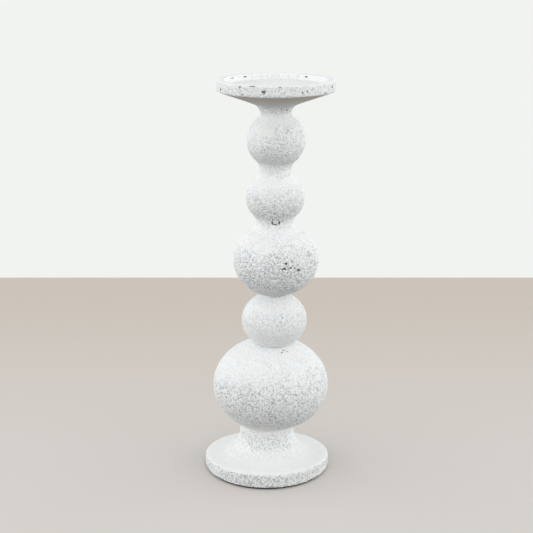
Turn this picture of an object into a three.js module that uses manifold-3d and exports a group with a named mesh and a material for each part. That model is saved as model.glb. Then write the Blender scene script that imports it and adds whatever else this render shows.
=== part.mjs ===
// A stacked-ball wooden candlestick for one pillar candle.
//
// Seven turned wooden pieces are stacked: a foot, five balls and a candle plate. The lowest ball
// has a round tenon that is glued into the foot and drawn down by a wood screw from below. Every
// higher joint is two flat end-grain faces glued round a fluted dowel. A felt pad under the foot
// covers the screw head. The stack was assembled by hand and isn't quite straight: each of the two
// lowest balls stands a little further towards +X than the piece below it.
//
// Millimetres, +Z up. The origin is on the table, on the axis of the screw in the foot.

import * as THREE from "three";
import { mergeVertices } from "three/addons/utils/BufferGeometryUtils.js";
import Module from "manifold-3d";

// ---- Driving dimensions ----

const HEIGHT = 350;
const AROUND = 40; // flats round each turned piece
const AROUND_SCREW = 20; // flats round the screw
const GLUE_LINE = 0.3; // gap between two faces that are glued together
const GLUE_FIT = 0.15; // gap all round a dowel, tenon or screw in its hole
const NECK_FILLET = 2.5; // how far up a ball the curve at each neck reaches
const EDGE_ROUND = 1.2; // rounding on the plate's edges
const END_REACH = 9; // how far from a joint a piece's end starts to run over to it sideways
const BALL_STEPS = 11; // points along a ball's curve
const CURVE_STEPS = 3; // points along any smaller curve

// Each joint's sideways place, its height and the radius of the neck that it cuts.
const FOOT_JOINT = { x: 0, z: 41.8, radius: 24.2 };
const LARGE_JOINT = { x: 4.5, z: 117.8, radius: 16.3 };
const LOWER_JOINT = { x: 6.2, z: 162.5, radius: 10.6 };
const MIDDLE_JOINT = { x: 6, z: 227.5, radius: 16.1 };
const UPPER_JOINT = { x: 6.4, z: 273.4, radius: 13.9 };
const PLATE_JOINT = { x: 6.6, z: 320.5, radius: 13 };

// Each ball's middle, its radius round the axis and half its height.
const BALLS = [
  {
    name: "large_ball",
    x: 2.4,
    z: 78.2,
    radius: 51,
    half: 41.8,
    below: FOOT_JOINT,
    above: LARGE_JOINT,
  },
  {
    name: "lower_small_ball",
    x: 5.5,
    z: 138.5,
    radius: 28.5,
    half: 25.3,
    below: LARGE_JOINT,
    above: LOWER_JOINT,
  },
  {
    name: "middle_ball",
    x: 6.9,
    z: 194.2,
    radius: 37.1,
    half: 32.6,
    below: LOWER_JOINT,
    above: MIDDLE_JOINT,
  },
  {
    name: "upper_small_ball",
    x: 6.1,
    z: 249.2,
    radius: 25.3,
    half: 22.8,
    below: MIDDLE_JOINT,
    above: UPPER_JOINT,
  },
  {
    name: "top_small_ball",
    x: 6.7,
    z: 298.9,
    radius: 25,
    half: 24.2,
    below: UPPER_JOINT,
    above: PLATE_JOINT,
  },
];

const FELT = { radius: 54, thick: 1.8 };
// The foot is a disc that sweeps up to a neck. The disc is thicker towards -Y: rim is its mean
// thickness, and slope is how fast its top face falls towards +Y.
const FOOT = { x: -1.1, radius: 55.5, tuck: 0.8, round: 3, rim: 9.8, slope: 0.06, sweep: 1.8, neck: 31 };
const PLATE = { radius: 50, rim: 9, lip: 0.4, coneEnd: 20.5, coneRise: 10.8, cove: 9 };
const RECESS = { radius: 43, depth: 5, cove: 1.5 };
const DOWEL = { radius: 5, length: 30, flutes: 12, fluteDepth: 0.4, chamfer: 1 };
const TENON = { radius: 9.5, length: 20, chamfer: 1.5 };
const SCREW = {
  length: 45,
  headRadius: 5,
  headHeight: 3,
  shank: 2.5,
  core: 1.7,
  pitch: 2.2,
  threads: 11,
  tip: 6,
  recess: 2,
};
const COUNTERBORE = { radius: 6, depth: 5 };
const CROSS = { span: 4.6, wide: 1, depth: 2 }; // driver recess in the screw head
const BORE_LIMIT = 10; // everything nearer the axis than this is a bore, a tenon or a face round one

const footBottom = FELT.thick;
const rimTop = footBottom + FOOT.rim;
const tenonBottom = FOOT_JOINT.z - TENON.length;
const screwBottom = footBottom + SCREW.recess;
const tableBelow = { x: 0, z: -Infinity }; // stands for the joint that the foot hasn't got
const dowelHole = { radius: DOWEL.radius + GLUE_FIT, depth: DOWEL.length / 2 + GLUE_FIT };

// ---- Materials ----

const paint = new THREE.MeshStandardMaterial({ color: 0xe6e7e5, roughness: 0.92, metalness: 0 });
const bareWood = new THREE.MeshStandardMaterial({ color: 0xcfa877, roughness: 0.7, metalness: 0 });
const zincSteel = new THREE.MeshStandardMaterial({ color: 0xb9bab2, roughness: 0.35, metalness: 1 });
const feltCloth = new THREE.MeshStandardMaterial({ color: 0x1c1c1d, roughness: 1, metalness: 0 });

// ---- Helpers ----

// A turned solid from a path of (distance from the axis, height), which starts and ends on the axis.
function turned(path, around = AROUND) {
  const geometry = new THREE.LatheGeometry(path.getPoints(CURVE_STEPS), around);
  return geometry.rotateX(Math.PI / 2);
}

// Sets a turned piece out sideways. Its body stands at x, and its ends run over to the joints below
// and above it. Level faces stay level, and a bore or tenon stays upright on the nearer joint.
function setOut(geometry, x, lower, upper) {
  const points = geometry.attributes.position;
  const { smoothstep } = THREE.MathUtils;
  for (let i = 0; i < points.count; i++) {
    const z = points.getZ(i);
    const inBore = Math.hypot(points.getX(i), points.getY(i)) < BORE_LIMIT;
    const nearer = z - lower.z < upper.z - z ? lower : upper;
    const toLower = (lower.x - x) * (1 - smoothstep(z, lower.z, lower.z + END_REACH));
    const toUpper = (upper.x - x) * smoothstep(z, upper.z - END_REACH, upper.z);
    points.setX(i, points.getX(i) + (inBore ? nearer.x : x + toLower + toUpper));
  }
  return geometry;
}

// Adds a flat-bottomed hole, seen from its floor on the axis out to its mouth.
function holeFromFloor(path, hole, floor, mouth) {
  path.moveTo(0, floor);
  path.lineTo(hole.radius, floor);
  path.lineTo(hole.radius, mouth);
}

// The same hole from its mouth in to its floor on the axis.
function holeFromMouth(path, hole, mouth, floor) {
  path.lineTo(hole.radius, mouth);
  path.lineTo(hole.radius, floor);
  path.lineTo(0, floor);
}

// The height on a ball's surface at a distance from the axis. side is 1 above its middle and -1 below.
function heightOnBall(ball, radius, side) {
  return ball.z + side * ball.half * Math.sqrt(1 - (radius / ball.radius) ** 2);
}

// Adds a ball's outer curve, from the neck below it to the neck above it.
function ballCurve(path, ball, faceBelow, faceAbove) {
  const { below, above } = ball;
  const startRadius = below.radius + NECK_FILLET;
  const endRadius = above.radius + NECK_FILLET;
  const start = Math.acos(startRadius / ball.radius);
  const end = Math.acos(endRadius / ball.radius);
  path.lineTo(below.radius, faceBelow);
  path.quadraticCurveTo(
    below.radius,
    Math.max(faceBelow, heightOnBall(ball, below.radius, -1)),
    startRadius,
    heightOnBall(ball, startRadius, -1),
  );
  for (let i = 1; i < BALL_STEPS; i++) {
    const angle = -start + ((start + end) * i) / BALL_STEPS;
    path.lineTo(ball.radius * Math.cos(angle), ball.z + ball.half * Math.sin(angle));
  }
  path.lineTo(endRadius, heightOnBall(ball, endRadius, 1));
  path.quadraticCurveTo(
    above.radius,
    Math.min(faceAbove, heightOnBall(ball, above.radius, 1)),
    above.radius,
    faceAbove,
  );
}

// A closed three.js geometry as a manifold-3d solid, and back.
const wasm = await Module();
wasm.setup();

function toSolid(geometry) {
  const bare = geometry.clone().deleteAttribute("normal").deleteAttribute("uv");
  const merged = mergeVertices(bare, 1e-4);
  return new wasm.Manifold(
    new wasm.Mesh({
      numProp: 3,
      vertProperties: merged.attributes.position.array,
      triVerts: new Uint32Array(merged.index.array),
    }),
  );
}

function toGeometry(solid) {
  const mesh = solid.getMesh();
  return new THREE.BufferGeometry()
    .setAttribute("position", new THREE.BufferAttribute(mesh.vertProperties, 3))
    .setIndex(new THREE.BufferAttribute(mesh.triVerts, 1));
}

// ---- Pieces ----

function feltPad() {
  const path = new THREE.Path();
  path.moveTo(0, 0);
  path.lineTo(FELT.radius, 0);
  path.lineTo(FELT.radius, FELT.thick - GLUE_LINE);
  path.lineTo(0, FELT.thick - GLUE_LINE);
  return turned(path);
}

// The foot is a ring in section: its screw hole runs right through, so the profile closes on itself.
function foot() {
  const screwHole = SCREW.shank + GLUE_FIT;
  const boreTop = footBottom + COUNTERBORE.depth;
  const socketFloor = tenonBottom - GLUE_LINE;
  const socketRadius = TENON.radius + GLUE_FIT;
  const path = new THREE.Path();
  path.moveTo(COUNTERBORE.radius, footBottom);
  path.lineTo(FOOT.radius - FOOT.tuck, footBottom);
  path.quadraticCurveTo(FOOT.radius, footBottom, FOOT.radius, footBottom + FOOT.tuck);
  path.lineTo(FOOT.radius, rimTop - FOOT.round);
  path.quadraticCurveTo(FOOT.radius, rimTop, FOOT.radius - FOOT.round, rimTop);
  path.quadraticCurveTo(FOOT_JOINT.radius, rimTop + FOOT.sweep, FOOT_JOINT.radius, FOOT.neck);
  path.lineTo(FOOT_JOINT.radius, FOOT_JOINT.z - GLUE_LINE);
  path.lineTo(socketRadius, FOOT_JOINT.z - GLUE_LINE);
  path.lineTo(socketRadius, socketFloor);
  path.lineTo(screwHole, socketFloor);
  path.lineTo(screwHole, boreTop);
  path.lineTo(COUNTERBORE.radius, boreTop);
  path.lineTo(COUNTERBORE.radius, footBottom);
  return setOut(withTopTilted(turned(path)), FOOT.x, tableBelow, FOOT_JOINT);
}

// The tilt of the disc's top face fades out down the rim and up the sweep to the neck.
function withTopTilted(geometry) {
  const points = geometry.attributes.position;
  const { smoothstep } = THREE.MathUtils;
  for (let i = 0; i < points.count; i++) {
    const [x, y, z] = new THREE.Vector3().fromBufferAttribute(points, i);
    const share = smoothstep(z, footBottom, rimTop) * (1 - smoothstep(z, rimTop, FOOT.neck));
    if (Math.hypot(x, y) > BORE_LIMIT) points.setZ(i, z - FOOT.slope * y * share);
  }
  return geometry;
}

// The large ball stands on its own tenon, which the foot's screw runs up into.
function largeBall(ball) {
  const pilot = { radius: SCREW.shank + GLUE_FIT };
  const faceAbove = ball.above.z - GLUE_LINE;
  const path = new THREE.Path();
  holeFromFloor(path, pilot, screwBottom + SCREW.length + 1, tenonBottom);
  path.lineTo(TENON.radius - TENON.chamfer, tenonBottom);
  path.lineTo(TENON.radius, tenonBottom + TENON.chamfer);
  path.lineTo(TENON.radius, ball.below.z);
  ballCurve(path, ball, ball.below.z, faceAbove);
  holeFromMouth(path, dowelHole, faceAbove, faceAbove - dowelHole.depth);
  return setOut(turned(path), ball.x, ball.below, ball.above);
}

function dowelledBall(ball) {
  const faceBelow = ball.below.z;
  const faceAbove = ball.above.z - GLUE_LINE;
  const path = new THREE.Path();
  holeFromFloor(path, dowelHole, faceBelow + dowelHole.depth, faceBelow);
  ballCurve(path, ball, faceBelow, faceAbove);
  holeFromMouth(path, dowelHole, faceAbove, faceAbove - dowelHole.depth);
  return setOut(turned(path), ball.x, ball.below, ball.above);
}

// The plate has a shallow recess for the candle, a plain rim, and a cone below that runs into its neck.
function candlePlate() {
  const rimBottom = HEIGHT - PLATE.rim;
  const recessFloor = HEIGHT - RECESS.depth;
  const coneEnd = rimBottom - PLATE.coneRise;
  const coneSlope = (PLATE.coneRise - PLATE.lip) / (PLATE.radius - EDGE_ROUND - PLATE.coneEnd);
  const neck = PLATE_JOINT.radius;
  const coneMeetsNeck = coneEnd - coneSlope * (PLATE.coneEnd - neck);
  const path = new THREE.Path();
  holeFromFloor(path, dowelHole, PLATE_JOINT.z + dowelHole.depth, PLATE_JOINT.z);
  path.lineTo(neck, PLATE_JOINT.z);
  path.lineTo(neck, coneEnd - PLATE.cove);
  path.quadraticCurveTo(neck, coneMeetsNeck, PLATE.coneEnd, coneEnd);
  path.lineTo(PLATE.radius - EDGE_ROUND, rimBottom - PLATE.lip);
  path.quadraticCurveTo(PLATE.radius, rimBottom, PLATE.radius, rimBottom + EDGE_ROUND);
  path.lineTo(PLATE.radius, HEIGHT - EDGE_ROUND);
  path.quadraticCurveTo(PLATE.radius, HEIGHT, PLATE.radius - EDGE_ROUND, HEIGHT);
  path.lineTo(RECESS.radius + EDGE_ROUND, HEIGHT);
  path.quadraticCurveTo(RECESS.radius, HEIGHT, RECESS.radius, HEIGHT - EDGE_ROUND);
  path.lineTo(RECESS.radius, recessFloor + RECESS.cove);
  path.quadraticCurveTo(RECESS.radius, recessFloor, RECESS.radius - RECESS.cove, recessFloor);
  path.lineTo(0, recessFloor);
  return turned(path);
}

// A dowel standing on z = 0: a fluted outline pulled up, with both ends chamfered.
function dowel() {
  const outline = new THREE.Shape();
  const step = (2 * Math.PI) / DOWEL.flutes;
  const valley = DOWEL.radius - DOWEL.fluteDepth - DOWEL.chamfer;
  const land = DOWEL.radius - DOWEL.chamfer;
  for (let i = 0; i < DOWEL.flutes; i++) {
    for (const [share, radius] of [[0, valley], [0.25, land], [0.75, land]]) {
      const angle = (i + share) * step;
      const x = radius * Math.cos(angle);
      const y = radius * Math.sin(angle);
      if (i === 0 && share === 0) outline.moveTo(x, y);
      else outline.lineTo(x, y);
    }
  }
  outline.closePath();
  const geometry = new THREE.ExtrudeGeometry(outline, {
    depth: DOWEL.length - 2 * DOWEL.chamfer,
    bevelThickness: DOWEL.chamfer,
    bevelSize: DOWEL.chamfer,
    bevelSegments: 1,
    curveSegments: 1,
  });
  return geometry.translate(0, 0, DOWEL.chamfer);
}

// The wood screw stands head down on z = 0, with ringed threads, a gimlet tip and a cross recess.
function screw() {
  const threadTop = SCREW.length - SCREW.tip;
  const threadBottom = threadTop - SCREW.threads * SCREW.pitch;
  const path = new THREE.Path();
  path.moveTo(0, 0);
  path.lineTo(SCREW.headRadius, 0);
  path.lineTo(SCREW.shank, SCREW.headHeight);
  path.lineTo(SCREW.shank, threadBottom - 1);
  path.lineTo(SCREW.core, threadBottom);
  for (let i = 0; i < SCREW.threads; i++) {
    const z = threadBottom + i * SCREW.pitch;
    path.lineTo(SCREW.shank, z + SCREW.pitch / 2);
    path.lineTo(SCREW.core, z + SCREW.pitch);
  }
  path.lineTo(0, SCREW.length);
  const bar = new THREE.BoxGeometry(CROSS.span, CROSS.wide, 2 * CROSS.depth);
  const crossBar = bar.clone().rotateZ(Math.PI / 2);
  const cross = toSolid(bar).add(toSolid(crossBar));
  return toGeometry(toSolid(turned(path, AROUND_SCREW)).subtract(cross));
}

// ---- Assembly ----

const candlestick = new THREE.Group();

function place(name, geometry, material, x = 0, z = 0) {
  const mesh = new THREE.Mesh(geometry, material);
  mesh.name = name;
  mesh.position.set(x, 0, z);
  candlestick.add(mesh);
}

place("felt_pad", feltPad(), feltCloth, FOOT.x);
place("foot", foot(), paint);
place("foot_screw", screw(), zincSteel, FOOT_JOINT.x, screwBottom);

for (const ball of BALLS) {
  const shape = ball.below === FOOT_JOINT ? largeBall(ball) : dowelledBall(ball);
  const dowelBottom = ball.above.z - GLUE_LINE / 2 - DOWEL.length / 2;
  place(ball.name, shape, paint);
  place(`${ball.name}_dowel`, dowel(), bareWood, ball.above.x, dowelBottom);
}

place("candle_plate", candlePlate(), paint, PLATE_JOINT.x);

export default candlestick;
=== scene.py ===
# The looks of a tall turned wooden candlestick: a foot, five stacked balls and a candle plate under
# a chalky, pebbled white finish that is chipped back to dark wood in places. Each turned piece is a
# fine skin over its CAD outline, so every size and place comes from the CAD frame. Lengths are metres.
import math

import bmesh
import bpy
import numpy as np
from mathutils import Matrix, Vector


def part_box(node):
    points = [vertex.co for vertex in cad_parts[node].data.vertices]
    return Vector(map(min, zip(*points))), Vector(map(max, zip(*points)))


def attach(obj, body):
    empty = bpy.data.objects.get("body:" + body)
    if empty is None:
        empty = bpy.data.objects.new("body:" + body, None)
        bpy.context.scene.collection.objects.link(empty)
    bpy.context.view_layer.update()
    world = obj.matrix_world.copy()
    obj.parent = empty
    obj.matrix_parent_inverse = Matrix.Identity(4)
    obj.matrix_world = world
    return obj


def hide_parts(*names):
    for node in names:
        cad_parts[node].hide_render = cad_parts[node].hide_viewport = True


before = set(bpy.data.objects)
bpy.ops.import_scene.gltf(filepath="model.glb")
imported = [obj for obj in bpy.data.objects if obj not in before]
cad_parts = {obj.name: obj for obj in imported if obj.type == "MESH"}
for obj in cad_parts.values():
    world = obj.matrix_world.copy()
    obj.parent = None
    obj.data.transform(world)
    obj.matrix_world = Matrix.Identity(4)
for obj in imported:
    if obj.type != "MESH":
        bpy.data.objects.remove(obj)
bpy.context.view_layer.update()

MM = 0.001
BODY = "root"
TURNED = [
    "foot",
    "large_ball",
    "lower_small_ball",
    "middle_ball",
    "upper_small_ball",
    "top_small_ball",
    "candle_plate",
]
DOWELS = [name + "_dowel" for name in TURNED[1:-1]]

# ---- Noise ----

LATTICE = 256  # the noise repeats after this many cells
NOISE_GAIN = 1.7  # brings the noise's range out to about -1 to 1


def smoothstep(value, start, end):
    share = np.clip((value - start) / (end - start), 0, 1)
    return share * share * (3 - 2 * share)


def noise(points, pitch, seed):
    """Smooth noise from about -1 to 1, whose bumps are about pitch across."""
    rng = np.random.default_rng(seed)
    order = rng.permutation(LATTICE)
    slopes = rng.normal(size=(LATTICE, 3))
    slopes /= np.linalg.norm(slopes, axis=1, keepdims=True)
    cell = np.floor(points / pitch).astype(int)
    inside = points / pitch - cell
    fade = inside**3 * (inside * (inside * 6 - 15) + 10)
    total = np.zeros(len(points))
    for corner in np.ndindex(2, 2, 2):
        x, y, z = ((cell + corner) % LATTICE).T
        slope = slopes[order[(order[(order[x] + y) % LATTICE] + z) % LATTICE]]
        weight = np.prod(np.where(corner, fade, 1 - fade), axis=1)
        total += weight * ((inside - corner) * slope).sum(axis=1)
    return NOISE_GAIN * total


# ---- The stack's centre line and its joints ----

GLUE_LINE = 0.3 * MM
PAINT_GAP = 0.03 * MM  # what is left of a glue line that paint has run into
CREASED = ["large_ball", "lower_small_ball"]  # the joint above each of these shows as a crease
END_REACH = 9 * MM  # how far from a joint a piece's end starts to run over to it sideways
BORE_LIMIT = 10 * MM  # everything nearer the axis than this is a bore, a tenon or a face round one


def middle(node):
    low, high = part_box(node)
    return (low + high) / 2


# Each glued joint as (sideways place, height of its glue line's middle), from the foot up.
foot_joint = (middle("foot_screw").x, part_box("foot")[1].z + GLUE_LINE / 2)
joints = [foot_joint] + [(middle(dowel).x, middle(dowel).z) for dowel in DOWELS]
gaps = [GLUE_LINE if node in CREASED else PAINT_GAP for node in TURNED[:-1]]
filled_necks = [z for (_, z), gap in zip(joints, gaps) if gap == PAINT_GAP]
bodies = [middle(node).x for node in TURNED]


def stack_x(height):
    """The sideways place of the stack's middle: upright bodies whose ends run over to the joints."""
    place = bodies[0]
    for (x, z), lower, upper in zip(joints, bodies, bodies[1:]):
        place = place + (x - lower) * smoothstep(height, z - END_REACH, z)
        place = place + (upper - x) * smoothstep(height, z, z + END_REACH)
    return place


def bore_x(height):
    """The sideways place of the bore, dowel or tenon at a height."""
    return min(joints, key=lambda joint: abs(joint[1] - height))[0]


def nearness(heights, full, none):
    """1 up to the distance full from the nearest neck that paint has filled, down to 0 at none."""
    away = np.min([np.abs(heights - z) for z in filled_necks], axis=0)
    return 1 - smoothstep(away, full, none)


# ---- Outlines from the CAD nodes ----

FLAT = 0.005 * MM  # two places nearer than this are the same
FINE = 0.25 * MM  # spacing along the stack's whole outline
SPLINE_STEPS = 24  # points between two of a spline's own
POLE_RADIUS = 0.4 * MM  # a skin's last ring, which a fan of triangles closes
NECK_SOFTNESS = 2 * MM  # how far the paint has rounded over the necks that it fills
NECK_REACH = 9 * MM  # how far from such a neck the rounding ends
KERNEL_REACH = 4 * NECK_SOFTNESS


def painted_face(height):
    """Where a glued face stands once paint has closed its glue line; other heights stay."""
    for (_, z), gap in zip(joints, gaps):
        if abs(abs(height - z) - GLUE_LINE / 2) < FLAT:
            return z + math.copysign(gap / 2, height - z)
    return height


def half_section(node):
    """A CAD node's half section at +X as [(distance from its axis, height, axis place)], in order."""
    shape = bmesh.new()
    shape.from_mesh(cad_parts[node].data)
    bmesh.ops.remove_doubles(shape, verts=shape.verts, dist=FLAT)
    links = {}
    for edge in shape.edges:
        ends = [tuple(vert.co) for vert in edge.verts]
        if all(abs(y) < FLAT and x > stack_x(z) + MM for x, y, z in ends):
            links.setdefault(ends[0], []).append(ends[1])
            links.setdefault(ends[1], []).append(ends[0])
    shape.free()
    loose = [point for point in links if len(links[point]) == 1]
    path = [min(loose or links, key=lambda point: (round(point[2], 6), point[0]))]
    while True:
        onward = [point for point in links[path[-1]] if point not in path]
        if not onward:
            break
        path.append(max(onward))
    section = []
    for x, _, z in path:
        in_bore = x - bore_x(z) < BORE_LIMIT
        centre = bore_x(z) if in_bore else float(stack_x(z))
        section.append((x - centre, painted_face(z), centre))
    return section, bool(loose)


def resampled(points, spacing):
    """The same line with equal steps of about spacing."""
    run = np.concatenate([[0], np.cumsum(np.linalg.norm(np.diff(points, axis=0), axis=1))])
    steps = np.linspace(0, run[-1], max(2, round(run[-1] / spacing) + 1))
    return np.stack([np.interp(steps, run, points[:, 0]), np.interp(steps, run, points[:, 1])], axis=1)


def spline(points, spacing):
    """A smooth curve through the points (centripetal Catmull-Rom), with steps of about spacing."""
    points = np.array(points)
    before = 2 * points[0] - points[1]
    after = 2 * points[-1] - points[-2]
    padded = np.vstack([before, points, after])
    dense = []
    for p0, p1, p2, p3 in zip(padded, padded[1:], padded[2:], padded[3:]):
        t1 = np.linalg.norm(p1 - p0) ** 0.5
        t2 = t1 + np.linalg.norm(p2 - p1) ** 0.5
        t3 = t2 + np.linalg.norm(p3 - p2) ** 0.5
        for t in np.linspace(t1, t2, SPLINE_STEPS, endpoint=False):
            a1 = (t1 - t) / t1 * p0 + t / t1 * p1
            a2 = (t2 - t) / (t2 - t1) * p1 + (t - t1) / (t2 - t1) * p2
            a3 = (t3 - t) / (t3 - t2) * p2 + (t - t2) / (t3 - t2) * p3
            b1 = (t2 - t) / t2 * a1 + t / t2 * a2
            b2 = (t3 - t) / (t3 - t1) * a2 + (t - t1) / (t3 - t1) * a3
            dense.append((t2 - t) / (t2 - t1) * b1 + (t - t1) / (t2 - t1) * b2)
    return resampled(np.vstack([dense, points[-1]]), spacing)


def outer_span(section):
    """The first and last places in a section that belong to the outside, not to a bore or tenon."""
    outer = [i for i, (radius, _, _) in enumerate(section) if radius > BORE_LIMIT]
    return outer[0], outer[-1]


def stack_outline(sections):
    """The whole stack's outside as (radius, height), rounded over at the necks that paint fills."""
    parts = []
    for node, (section, _) in sections.items():
        first, last = outer_span(section)
        curve = [(radius, z) for radius, z, _ in section[first : last + 1]]
        if node == TURNED[-1]:
            curve.append((POLE_RADIUS, curve[-1][1]))
        parts.append(spline(curve, FINE))
    line = np.vstack(parts)
    half = round(KERNEL_REACH / FINE)
    reach = np.arange(-half, half + 1) * FINE
    kernel = np.exp(-0.5 * (reach / NECK_SOFTNESS) ** 2)
    rounded = np.stack([np.convolve(side, kernel / kernel.sum(), "same") for side in line.T], axis=1)
    share = nearness(line[:, 1], 0.5 * NECK_REACH, NECK_REACH)
    return line + share[:, None] * (rounded - line)


def own_outline(outline, node):
    """A piece's part of the stack's outline, from its lower face to its upper face."""
    heights = [z for _, z in joints]
    halves = [gap / 2 for gap in gaps]
    at = TURNED.index(node)
    low = heights[at - 1] + halves[at - 1] if at else -math.inf
    high = heights[at] - halves[at] if at < len(joints) else math.inf
    own = outline[(outline[:, 1] > low) & (outline[:, 1] < high)]
    if at:
        own = np.vstack([(own[0, 0], low), own])
    if at < len(joints):
        own = np.vstack([own, (own[-1, 0], high)])
    return own


# ---- Turned skins ----

QUADS = 92_000  # most faces of one painted piece
FINEST = 0.42 * MM  # least width of such a face
SHARP = math.radians(60)  # an edge that turns by more than this is shaded as a corner


def ring_points(radius, z, centre, angle):
    """Rings of points round an axis, one for each radius, height and axis place."""
    x = centre[:, None] + radius[:, None] * np.cos(angle)
    y = radius[:, None] * np.sin(angle)
    return np.stack([x, y, np.broadcast_to(z[:, None], x.shape)], axis=2)


def turned_mesh(name, rings, is_loop):
    """A closed mesh from rings of points, each given from +X round past +Y, from the bottom up."""
    count, around = rings.shape[:2]
    points = rings.reshape(-1, 3)
    lower = np.arange(count if is_loop else count - 1)[:, None] * around
    upper = (lower + around) % (count * around)
    here = np.arange(around)[None, :]
    after = (here + 1) % around
    quads = np.stack([lower + here, lower + after, upper + after, upper + here], axis=2)
    faces = quads.reshape(-1, 4).tolist()
    if not is_loop:
        points = np.vstack([points, rings[0].mean(axis=0), rings[-1].mean(axis=0)])
        first_pole, last_pole = len(points) - 2, len(points) - 1
        last = (count - 1) * around
        for i in range(around):
            j = (i + 1) % around
            faces.append((j, i, first_pole))
            faces.append((last + i, last + j, last_pole))
    mesh = bpy.data.meshes.new(name)
    mesh.from_pydata(points.tolist(), [], faces)
    mesh.validate()
    mesh.shade_smooth()
    mesh.set_sharp_from_angle(angle=SHARP)
    return mesh


def add_object(mesh):
    """Puts a mesh in the scene, as an object of the same name."""
    piece = bpy.data.objects.new(mesh.name, mesh)
    bpy.context.collection.objects.link(piece)
    return piece


# ---- The painted finish ----

GRIT_PITCH = 1.7 * MM
GRIT_HEIGHT = 0.28 * MM
WOBBLE_PITCH = 26 * MM
WOBBLE_HEIGHT = 0.22 * MM
PATCH_PITCH = 17 * MM  # size of the areas that came out coarser or calmer
FINE_PATCH_PITCH = 8 * MM
RAGGED_PITCH = 2.2 * MM  # size of the steps along a chip's edge
FINE_RAGGED_PITCH = 1 * MM
CHIP_DEPTH = 0.5 * MM
FLAKE_HEIGHT = 0.5 * MM  # how far paint stands off where it is lifting
MARK_THROUGH = 4 * MM  # how far in and out from the outline a small chip or flake still marks

CALMEST = 0.25  # how much of the grit is left on level faces
RECESS_SHARE = 0.45  # how much of it is left in a recess
NECK_CALM = 0.8  # how much of it the paint that fills a neck can take away
FOOT_TOP_LIGHT = 0.18  # painted light: how much whiter the colour of the foot's level top is made
UNDERSIDE_TINT_START = 20 * MM  # the plate's downward faces get a tan tint from this far out: painted shade with a warm bounce, and wood through thinly spread paint
UNDERSIDE_TINT_END = 42 * MM  # and the full tint from here

# How coarse the finish came out on each piece: at its lower end, at its upper end, and how far it
# gathers towards +X.
ROUGHNESS = {
    "foot": (1.3, 0.85, 0.2),
    "large_ball": (1.15, 1.3, 0.2),
    "lower_small_ball": (0.2, 1.25, 0.25),
    "middle_ball": (1.15, 1.3, 0.1),
    "upper_small_ball": (0.95, 0.75, 0.1),
    "top_small_ball": (0.7, 1.05, 0.5),
    "candle_plate": (1.1, 0.8, 0.2),
}

# The foot's top face tilts as it does on the CAD node.
FOOT_SLOPE = 0.06  # how fast it falls towards +Y
FOOT_RIM_TOP = 11.6 * MM  # the tilt is all there at this height
FOOT_NECK = 31 * MM  # and gone again at this one

# Lifted flakes, chips in the plate's recess wall, and chips in the outside of each piece, two of which
# are painted shadow along a flake's edges: the angle from +X in degrees, and the height, width and
# tallness in millimetres.
FLAKES = {"upper_small_ball": [(-88, 231.2, 3.6, 4.2)], "candle_plate": [(-50, 345.5, 5, 5)]}
RECESS_CHIPS = [(52, 348, 6.0, 1.2), (150, 348.5, 7.0, 0.9), (128, 348, 4.5, 0.8)]
CHIPS_AND_FLAKE_SHADOWS = {
    "candle_plate": [
        (-102, 345.7, 5.0, 1.7),
        (-101, 344.4, 1.8, 1.8),
        (-113, 349.7, 8.0, 0.9),
        (-86, 349.7, 2.8, 1.0),
        (-156, 343.6, 3.2, 2.2),
        (-126, 348.3, 1.4, 2.2),
        (-123, 342.5, 2.2, 1.2),
        (-65, 344.5, 1.4, 1.4),
        (-60, 345.5, 1.7, 2.2),
        (-36, 342.3, 2.2, 1.2),
        (-22, 346, 2.4, 2.8),
        (-17, 343.6, 3.0, 1.4),
        (-10, 346, 3.0, 2.6),
        (-28, 326.5, 1.9, 1.7),
        (-52, 325.5, 1.7, 1.2),
        (-45, 329, 1.3, 1.0),
    ],
    "upper_small_ball": [
        (-90, 228.6, 4.4, 1.2),
        (-99, 230.6, 1.6, 3.2),
        (-78, 230.2, 1.6, 3.0),
        (-107, 232.6, 1.5, 1.2),
        (-69, 231.6, 2.2, 1.1),
        # Painted shadow, dark like a chip, along the lifted flake's upper edge on its -X side.
        (-96, 233.4, 1.3, 2.0),
        (-90, 235.2, 1.8, 1.1),
        # Painted shadow, dark like a chip, along the lifted flake's upper edge on its +X side.
        (-81, 233.2, 1.2, 1.4),
        (-112, 229.4, 1.4, 1.1),
        (-92, 239.6, 1.8, 1.2),
    ],
    "middle_ball": [
        (-77, 199.6, 4.4, 1.8),
        (-80, 194.9, 4.2, 2.0),
        (-71, 195.6, 4.2, 1.7),
        (-60, 193.0, 4.8, 2.6),
        (-65, 195.2, 2.4, 1.2),
        (-113, 187.5, 1.5, 1.5),
    ],
    "large_ball": [(-64, 116.3, 2.4, 0.9), (-70, 115.3, 1.5, 0.8), (-57, 115.4, 1.2, 0.7)],
}


def grit(spots):
    """The finish's relief: pebbles from about 1 on their tops to -1 in the worm-like gaps between."""
    drift = np.stack([noise(spots, 1.5 * GRIT_PITCH, seed) for seed in (11, 12, 13)], axis=1)
    warped = spots + 0.3 * GRIT_PITCH * drift
    pebbles = 4 * np.abs(noise(warped, GRIT_PITCH, 14)) - 1
    crumbs = noise(spots, 0.5 * GRIT_PITCH, 15)
    return np.clip(pebbles + 0.5 * crumbs, -1.2, 1)


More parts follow.
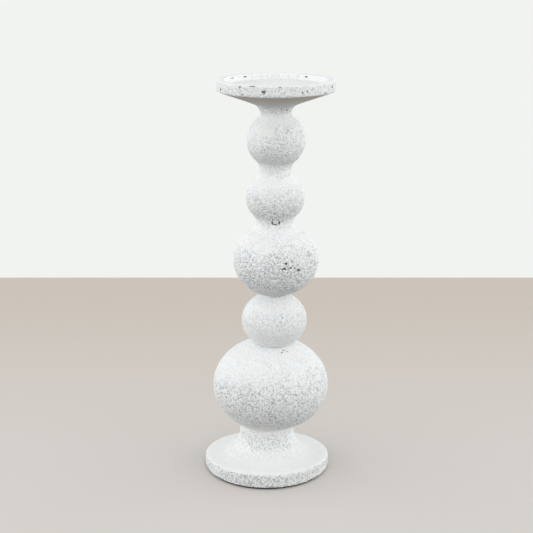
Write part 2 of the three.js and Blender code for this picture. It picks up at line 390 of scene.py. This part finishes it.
def coarseness(node, spots, normals, outline):
    """How strongly the grit shows at each spot: most round a piece's sides, in uneven patches."""
    patches = 0.6 * noise(spots, PATCH_PITCH, 21) + 0.4 * noise(spots, FINE_PATCH_PITCH, 22)
    facing_x, _, facing_up = normals.T
    belt = (1 - smoothstep(facing_up, 0.0, 0.95)) * smoothstep(facing_up, -1.0, -0.5)
    lower_end, upper_end, sideways = ROUGHNESS[node]
    share = smoothstep(belt + 0.5 * patches + sideways * facing_x, 0.1, 0.95)
    risen = smoothstep(spots[:, 2], outline[0, 1], outline[:, 1].max())
    # A distance below 0 leaves some grit on the necks themselves.
    calm = 1 - NECK_CALM * nearness(spots[:, 2], -0.5 * NECK_REACH, NECK_REACH)
    return (CALMEST + (1 - CALMEST) * share) * (lower_end + (upper_end - lower_end) * risen) * calm


def thin_and_shade_share(spots, facing_up):
    """From 0 to 1 where the plate's downward faces take a tan tint: painted shade with a warm bounce,
    and wood showing through thinly spread paint.
    """
    from_axis = np.hypot(spots[:, 0] - bodies[-1], spots[:, 1])
    return smoothstep(-facing_up, 0.75, 0.95) * smoothstep(from_axis, UNDERSIDE_TINT_START, UNDERSIDE_TINT_END)


def mark_cover(spots, marks, outline, pick):
    """From 0 away from the marks to 1 on them. A mark is (angle, height, width, tall), and pick is
    max for the outside of a piece and min for the inside of a recess."""
    cover = np.zeros(len(spots))
    ragged = noise(spots, RAGGED_PITCH, 31) + 0.7 * noise(spots, FINE_RAGGED_PITCH, 32)
    for angle, height, width, tall in marks:
        turn = math.radians(angle)
        out = np.array([math.cos(turn), math.sin(turn), 0])
        side = np.array([-out[1], out[0], 0])
        radius = pick(outline[np.abs(outline[:, 1] - height * MM) < 0.7 * MM, 0])
        away = spots - radius * out - [float(stack_x(height * MM)), 0, height * MM]
        across = away @ side / (width / 2 * MM)
        upright = away[:, 2] / (tall / 2 * MM)
        inward = away @ out / max(width * MM, tall * MM, MARK_THROUGH)
        depth = 1 - np.sqrt(across**2 + upright**2 + inward**2) + 0.5 * ragged
        cover = np.maximum(cover, smoothstep(depth, 0, 0.25) * (np.abs(across) + np.abs(inward) < 3))
    return cover


def with_top_tilted(spots):
    """The foot's rings with its top face tilted, fading out down the rim and up the neck."""
    z = spots[:, :, 2]
    up_rim = smoothstep(z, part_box("foot")[0].z, FOOT_RIM_TOP)
    up_neck = smoothstep(z, FOOT_RIM_TOP, FOOT_NECK)
    tilted = spots.copy()
    tilted[:, :, 2] -= FOOT_SLOPE * spots[:, :, 1] * up_rim * (1 - up_neck)
    return tilted


def surface(node, outline, angle):
    """Rings of points on a piece's outside, their outward directions, and which ones face inwards."""
    along = np.gradient(outline, axis=0)
    along /= np.linalg.norm(along, axis=1, keepdims=True)
    out_r, out_z = along[:, 1], -along[:, 0]
    spots = ring_points(outline[:, 0], outline[:, 1], stack_x(outline[:, 1]), angle)
    if node == "foot":
        spots = with_top_tilted(spots)
    normals = ring_points(out_r, out_z, 0 * out_r, angle)
    in_recess = np.repeat(out_r, len(angle)) < -0.1
    return spots, normals.reshape(-1, 3), in_recess


def painted_piece(node, section, is_open, outline):
    """A painted skin over a CAD node: fine grit, hand-made unevenness and chips, as real relief."""
    widest = outline[:, 0].max()
    length = np.linalg.norm(np.diff(outline, axis=0), axis=1).sum()
    spacing = max(FINEST, math.sqrt(2 * math.pi * widest * length / QUADS))
    fine = resampled(outline, spacing)
    angle = np.linspace(0, 2 * math.pi, round(2 * math.pi * widest / spacing), endpoint=False)
    grid, normals, in_recess = surface(node, fine, angle)
    spots = grid.reshape(-1, 3)
    facing_up = normals[:, 2]

    strength = coarseness(node, spots, normals, fine) * np.where(in_recess, RECESS_SHARE, 1)
    relief = grit(spots) * strength
    # Chips show dark wood and sink in; two such marks are painted shadow along a lifted flake's edges.
    bare_and_flake_shadow = mark_cover(spots, CHIPS_AND_FLAKE_SHADOWS.get(node, []), fine, max)
    # The plate's downward faces take a tan tint: painted shade with a warm bounce, and wood through
    # thinly spread paint.
    thin_and_shade = np.zeros(len(spots))
    if node == "candle_plate":
        bare_and_flake_shadow = np.maximum(bare_and_flake_shadow, mark_cover(spots, RECESS_CHIPS, fine, min))
        thin_and_shade = thin_and_shade_share(spots, facing_up)
    push = WOBBLE_HEIGHT * noise(spots, WOBBLE_PITCH, 23) + GRIT_HEIGHT * relief
    push = push * (1 - bare_and_flake_shadow) - CHIP_DEPTH * bare_and_flake_shadow
    push += FLAKE_HEIGHT * mark_cover(spots, FLAKES.get(node, []), fine, max)
    skin = (spots + normals * push[:, None]).reshape(grid.shape)
    # Painted light: the foot's upward top is made whiter in colour only, after its skin has been
    # shaped.
    if node == "foot":
        relief = relief + FOOT_TOP_LIGHT * smoothstep(facing_up, 0.85, 0.97)

    first, last = outer_span(section)
    rings = []
    for i, (radius, z, centre) in enumerate(section):
        if i == first:
            rings.extend(skin)
        elif i < first or i > last:
            rings.append(ring_points(np.array([radius]), np.array([z]), np.array([centre]), angle)[0])
    mesh = turned_mesh(node + "_painted", np.array(rings), not is_open)
    start = first * len(angle)
    for name, value in {"relief": relief, "bare_and_flake_shadow": bare_and_flake_shadow, "thin_and_shade": thin_and_shade}.items():
        full = np.zeros(len(mesh.vertices), np.float32)
        full[start : start + len(value)] = value
        mesh.attributes.new(name, "FLOAT", "POINT").data.foreach_set("value", full)
    piece = add_object(mesh)
    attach(piece, BODY)
    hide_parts(node)
    return piece


# ---- Materials ----


class Nodes:
    """A short way to build a material's node tree."""

    def __init__(self, name):
        self.material = bpy.data.materials.new(name)
        self.material.use_nodes = True
        self.tree = self.material.node_tree
        self.shader = self.tree.nodes["Principled BSDF"]
        self.place = self.add("ShaderNodeTexCoord").outputs["Object"]

    def add(self, kind, **settings):
        node = self.tree.nodes.new(kind)
        for key, value in settings.items():
            setattr(node, key, value)
        return node

    def join(self, source, target):
        self.tree.links.new(source, target)

    def fill(self, socket, value):
        if isinstance(value, bpy.types.NodeSocket):
            self.join(value, socket)
        else:
            socket.default_value = value

    def stored(self, name):
        return self.add("ShaderNodeAttribute", attribute_name=name).outputs["Fac"]

    def noise(self, pitch, detail=2.0, stretch=None):
        """Noise with bumps about pitch across, stretched by an (x, y, z) factor if given."""
        node = self.add("ShaderNodeTexNoise")
        node.inputs["Scale"].default_value = 1 / pitch
        node.inputs["Detail"].default_value = detail
        place = self.place
        if stretch:
            mapping = self.add("ShaderNodeMapping")
            mapping.inputs["Scale"].default_value = stretch
            self.join(place, mapping.inputs["Vector"])
            place = mapping.outputs["Vector"]
        self.join(place, node.inputs["Vector"])
        return node.outputs["Fac"]

    def span(self, value, low, high, to_low=0.0, to_high=1.0):
        node = self.add("ShaderNodeMapRange", interpolation_type="SMOOTHSTEP")
        self.join(value, node.inputs["Value"])
        ends = {"From Min": low, "From Max": high, "To Min": to_low, "To Max": to_high}
        for key, number in ends.items():
            node.inputs[key].default_value = number
        return node.outputs["Result"]

    def maths(self, operation, first, second):
        node = self.add("ShaderNodeMath", operation=operation)
        self.fill(node.inputs[0], first)
        self.fill(node.inputs[1], second)
        return node.outputs["Value"]

    def mix(self, share, first, second, blend="MIX"):
        node = self.add("ShaderNodeMix", data_type="RGBA", blend_type=blend)
        sockets = (node.inputs[0], node.inputs[6], node.inputs[7])
        for socket, value in zip(sockets, (share, first, second)):
            self.fill(socket, (*value, 1) if isinstance(value, tuple) else value)
        return node.outputs[2]

    def bump(self, height, distance, strength=1.0):
        node = self.add("ShaderNodeBump")
        node.inputs["Distance"].default_value = distance
        node.inputs["Strength"].default_value = strength
        self.join(height, node.inputs["Height"])
        self.join(node.outputs["Normal"], self.shader.inputs["Normal"])

    def finish(self, colour, roughness):
        self.join(colour, self.shader.inputs["Base Color"])
        self.join(roughness, self.shader.inputs["Roughness"])
        return self.material


WHITE = (0.87, 0.882, 0.886)
# The mid white and the two pit colours darken the finish down the pebbles' sides and into its pits:
# partly the paint's own grey speckle, partly painted shade in the hollows.
MID_WHITE = (0.78, 0.79, 0.79)
PIT_GREY_AND_SHADE = (0.5, 0.51, 0.515)
DEEP_PIT_AND_SHADE = (0.2, 0.19, 0.18)
CREAM = (0.86, 0.855, 0.825)
# A tan for the plate's underside: painted shade with a warm bounce, and wood through thinly spread
# paint.
THIN_PAINT_AND_SHADE = (0.8, 0.73, 0.64)
WOOD_DARK = (0.07, 0.06, 0.052)
WOOD_LIGHT = (0.22, 0.18, 0.145)


def painted_finish():
    """Chalky white paint over dark wood, creamier in patches and greyer in its pits, that grey partly
    the paint's own speckle and partly painted shade. The plate's underside gets a tan tint, partly
    painted shade with a warm bounce and partly wood through thinly spread paint. The paint is chipped
    off in places, and two such marks are painted shadow beside a lifted flake."""
    nodes = Nodes("distressed_white_paint")
    bare_and_flake_shadow = nodes.stored("bare_and_flake_shadow")
    specks = nodes.noise(0.7 * MM, detail=3)
    patches = nodes.noise(14 * MM, detail=3)
    height = nodes.maths("ADD", nodes.stored("relief"), nodes.span(specks, 0.3, 0.7, -0.22, 0.22))
    # Greyer the lower the relief: partly grey speckle in the paint, partly painted shade down the
    # pebbles' sides and in the pits.
    sound = nodes.mix(nodes.span(height, -0.3, 0.3), MID_WHITE, WHITE)
    sound = nodes.mix(nodes.span(patches, 0.42, 0.62, 0, 0.5), sound, CREAM)
    paint = nodes.mix(nodes.span(height, -0.95, 0.05, 1, 0), sound, PIT_GREY_AND_SHADE)
    paint = nodes.mix(nodes.span(height, -1.3, -1.0, 1, 0), paint, DEEP_PIT_AND_SHADE)
    cover = nodes.span(patches, 0.35, 0.65, 0.75, 1)
    # Painted shade with a warm bounce on the plate's underside, together with wood through thinly
    # spread paint, patchier in places.
    paint = nodes.mix(nodes.maths("MULTIPLY", nodes.stored("thin_and_shade"), cover), paint, THIN_PAINT_AND_SHADE)
    wood = nodes.mix(nodes.noise(1.2 * MM, detail=4, stretch=(1, 1, 0.2)), WOOD_DARK, WOOD_LIGHT)
    # Dark wood where the paint is chipped off, and as painted shadow beside a lifted flake.
    colour = nodes.mix(nodes.span(bare_and_flake_shadow, 0.35, 0.75), paint, wood)
    chalk = nodes.span(specks, 0.3, 0.7, 0.82, 0.97)
    roughness = nodes.maths("SUBTRACT", chalk, nodes.maths("MULTIPLY", bare_and_flake_shadow, 0.25))
    nodes.bump(nodes.noise(0.45 * MM, detail=4), 0.08 * MM, 0.6)
    nodes.shader.inputs["Specular IOR Level"].default_value = 0.3
    return nodes.finish(colour, roughness)


def bare_wood():
    """Unfinished hardwood with its grain along the dowel."""
    nodes = Nodes("bare_wood")
    grain = nodes.noise(1.4 * MM, detail=5, stretch=(1, 1, 0.06))
    pores = nodes.noise(0.35 * MM, detail=2, stretch=(1, 1, 0.1))
    colour = nodes.mix(nodes.span(grain, 0.3, 0.7), (0.68, 0.47, 0.28), (0.5, 0.31, 0.17))
    colour = nodes.mix(nodes.span(pores, 0.6, 0.75), colour, (0.3, 0.18, 0.1))
    nodes.bump(pores, 0.05 * MM, 0.5)
    return nodes.finish(colour, nodes.span(grain, 0.3, 0.7, 0.62, 0.78))


def zinc_steel():
    """Zinc plated steel with faint turning marks."""
    nodes = Nodes("zinc_steel")
    marks = nodes.noise(0.5 * MM, detail=3, stretch=(0.2, 0.2, 3))
    stain = nodes.noise(6 * MM, detail=3)
    colour = nodes.mix(nodes.span(stain, 0.35, 0.65), (0.62, 0.62, 0.6), (0.74, 0.73, 0.68))
    nodes.bump(marks, 0.02 * MM, 0.4)
    nodes.shader.inputs["Metallic"].default_value = 1
    return nodes.finish(colour, nodes.span(marks, 0.3, 0.7, 0.28, 0.46))


def felt_cloth():
    """Pressed wool felt: matted fibres, a little grey where they catch the light."""
    nodes = Nodes("felt")
    fibres = nodes.noise(0.5 * MM, detail=5, stretch=(1, 0.25, 1))
    crossing = nodes.noise(0.5 * MM, detail=5, stretch=(0.25, 1, 1))
    mat = nodes.maths("MAXIMUM", fibres, crossing)
    clumps = nodes.noise(5 * MM, detail=3)
    colour = nodes.mix(nodes.span(mat, 0.45, 0.75), (0.008, 0.008, 0.009), (0.035, 0.035, 0.038))
    colour = nodes.mix(nodes.span(clumps, 0.4, 0.65, 0, 0.4), colour, (0.02, 0.02, 0.022))
    nodes.bump(mat, 0.25 * MM, 0.8)
    nodes.shader.inputs["Sheen Weight"].default_value = 0.25
    return nodes.finish(colour, nodes.span(mat, 0.3, 0.7, 0.9, 1.0))


# ---- The felt pad ----

FELT_AROUND = 420  # faces round the pad
FELT_STEP = 1.6 * MM  # spacing across its faces
FELT_EDGE_STEP = 0.25 * MM
FELT_ROUND = 0.3 * MM
FUZZ = 0.16 * MM
SAG = 0.05 * MM


def felt_piece():
    """The pad under the foot, its cut edge fuzzy and its faces a little uneven."""
    low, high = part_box("felt_pad")
    radius = (high.y - low.y) / 2
    thick = high.z - low.z
    centre = middle("felt_pad").x
    under = [(POLE_RADIUS, 0), (radius - FELT_ROUND, 0)]
    edge = [under[-1], (radius, 0.3 * thick), (radius, 0.7 * thick), (radius - FELT_ROUND, thick)]
    over = [edge[-1], (POLE_RADIUS, thick)]
    fine = np.vstack([spline(under, FELT_STEP), spline(edge, FELT_EDGE_STEP)[1:]])
    fine = np.vstack([fine, spline(over, FELT_STEP)[1:]])
    angle = np.linspace(0, 2 * math.pi, FELT_AROUND, endpoint=False)
    rings = ring_points(fine[:, 0], fine[:, 1], 0 * fine[:, 0] + centre, angle)
    flat = rings.reshape(-1, 3)
    out = flat - [centre, 0, 0]
    from_axis = np.linalg.norm(out[:, :2], axis=1, keepdims=True)
    fuzz = noise(flat, 0.9 * MM, 41) + 0.6 * noise(flat, 0.4 * MM, 42)
    at_edge = smoothstep(from_axis[:, 0], radius - MM, radius)
    flat[:, :2] += out[:, :2] / from_axis * (FUZZ * fuzz * at_edge)[:, None]
    inward = np.where(flat[:, 2] < thick / 2, 1, -1)
    flat[:, 2] += inward * SAG * (1 + noise(flat, 3 * MM, 43)) * (1 - at_edge)
    mesh = turned_mesh("felt_disc", flat.reshape(rings.shape), False)
    piece = add_object(mesh)
    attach(piece, BODY)
    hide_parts("felt_pad")
    return piece


# ---- Camera, lights and stage ----

SENSOR = 36
LENS = 78.7
CAMERA_PLACE = (-0.0013, -0.98, 0.467)
LOOKING_DOWN = 15.94
FLOOR_BACK = 0.598  # the floor ends this far behind the object,
FLOOR_AHEAD = 1.6  # and this far in front of it
FLOOR_WIDTH = 3.2
FLOOR_THICK = 0.03
FLOOR_FRONT = -0.13  # nearer the camera than this, the floor gives back less light
FLOOR_NEAR = (0.685, 0.648, 0.622)
FLOOR_FAR = (0.597, 0.533, 0.474)
FLOOR_BOUNCE = (0.225, 0.205, 0.184)
FLOOR_SHADE = (0.11, 0.106, 0.102)
SURROUND = (0.879, 0.896, 0.871)
SKY_ABOVE = (0.74, 0.745, 0.735)
SKY_FRONT = (1.47, 1.5, 1.51)
SKY_BACK = (0.8, 0.82, 0.825)
SKY_SIDES = (2.5, 2.57, 2.59)
SKY_BELOW = (0.9, 0.9, 0.9)


def add_camera():
    data = bpy.data.cameras.new("camera")
    data.sensor_width = SENSOR
    data.lens = LENS
    data.clip_start = 0.01
    data.clip_end = 20
    camera = bpy.data.objects.new("camera", data)
    camera.location = CAMERA_PLACE
    camera.rotation_euler = (math.radians(90 - LOOKING_DOWN), 0, 0)
    bpy.context.collection.objects.link(camera)
    bpy.context.scene.camera = camera


def add_floor():
    """A plain pale slab that the object stands on."""
    shape = bmesh.new()
    bmesh.ops.create_cube(shape, size=1)
    length = FLOOR_BACK + FLOOR_AHEAD
    bmesh.ops.scale(shape, vec=(FLOOR_WIDTH, length, FLOOR_THICK), verts=shape.verts)
    shift = (0, (FLOOR_BACK - FLOOR_AHEAD) / 2, -FLOOR_THICK / 2)
    bmesh.ops.translate(shape, vec=shift, verts=shape.verts)
    mesh = bpy.data.meshes.new("floor")
    shape.to_mesh(mesh)
    shape.free()
    floor = add_object(mesh)
    nodes = Nodes("floor")
    parts = nodes.add("ShaderNodeSeparateXYZ")
    nodes.join(nodes.place, parts.inputs[0])
    away = parts.outputs["Y"]
    seen = nodes.mix(nodes.span(away, FLOOR_FRONT, FLOOR_BACK), FLOOR_NEAR, FLOOR_FAR)
    bounce = nodes.mix(nodes.span(away, FLOOR_FRONT - 0.02, FLOOR_FRONT), FLOOR_SHADE, FLOOR_BOUNCE)
    is_seen = nodes.add("ShaderNodeLightPath").outputs["Is Camera Ray"]
    nodes.join(nodes.mix(is_seen, bounce, seen), nodes.shader.inputs["Base Color"])
    nodes.shader.inputs["Roughness"].default_value = 0.9
    nodes.shader.inputs["Specular IOR Level"].default_value = 0.1
    mesh.materials.append(nodes.material)


def add_surround():
    """A plain pale backdrop, lit by a soft sky that is brightest at both sides, low down."""
    world = bpy.data.worlds.new("surround")
    world.use_nodes = True
    tree = world.node_tree
    way = tree.nodes.new("ShaderNodeSeparateXYZ")
    tree.links.new(tree.nodes.new("ShaderNodeTexCoord").outputs["Generated"], way.inputs[0])
    sideways = tree.nodes.new("ShaderNodeMath")
    sideways.operation = "ABSOLUTE"
    tree.links.new(way.outputs["X"], sideways.inputs[0])

    def blend(share, low, high, first, second):
        ramp = tree.nodes.new("ShaderNodeMapRange")
        tree.links.new(share, ramp.inputs["Value"])
        ramp.inputs["From Min"].default_value = low
        ramp.inputs["From Max"].default_value = high
        mix = tree.nodes.new("ShaderNodeMix")
        mix.data_type = "RGBA"
        tree.links.new(ramp.outputs["Result"], mix.inputs[0])
        for socket, colour in ((mix.inputs[6], first), (mix.inputs[7], second)):
            if isinstance(colour, tuple):
                socket.default_value = (*colour, 1)
            else:
                tree.links.new(colour, socket)
        return mix.outputs[2]

    along = blend(way.outputs["Y"], -0.3, 0.3, SKY_FRONT, SKY_BACK)
    around = blend(sideways.outputs[0], 0.55, 0.8, along, SKY_SIDES)
    risen = blend(way.outputs["Z"], -0.1, 0.06, SKY_BELOW, around)
    sky = blend(way.outputs["Z"], 0.4, 0.6, risen, SKY_ABOVE)
    seen = tree.nodes.new("ShaderNodeLightPath").outputs["Is Camera Ray"]
    tree.links.new(blend(seen, 0, 1, sky, SURROUND), tree.nodes["Background"].inputs["Color"])
    bpy.context.scene.world = world
    bpy.context.scene.view_settings.view_transform = "Standard"


# ---- Assembly ----

add_camera()
add_surround()
add_floor()

paint = painted_finish()
half_sections = {turned: half_section(turned) for turned in TURNED}
whole_outline = stack_outline(half_sections)
for turned, (own_section, own_is_open) in half_sections.items():
    skin = painted_piece(turned, own_section, own_is_open, own_outline(whole_outline, turned))
    skin.data.materials.append(paint)
felt_piece().data.materials.append(felt_cloth())

wood = bare_wood()
steel = zinc_steel()
for cad_name in DOWELS + ["foot_screw"]:
    for cad_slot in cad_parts[cad_name].material_slots:
        cad_slot.material = steel if cad_name == "foot_screw" else wood
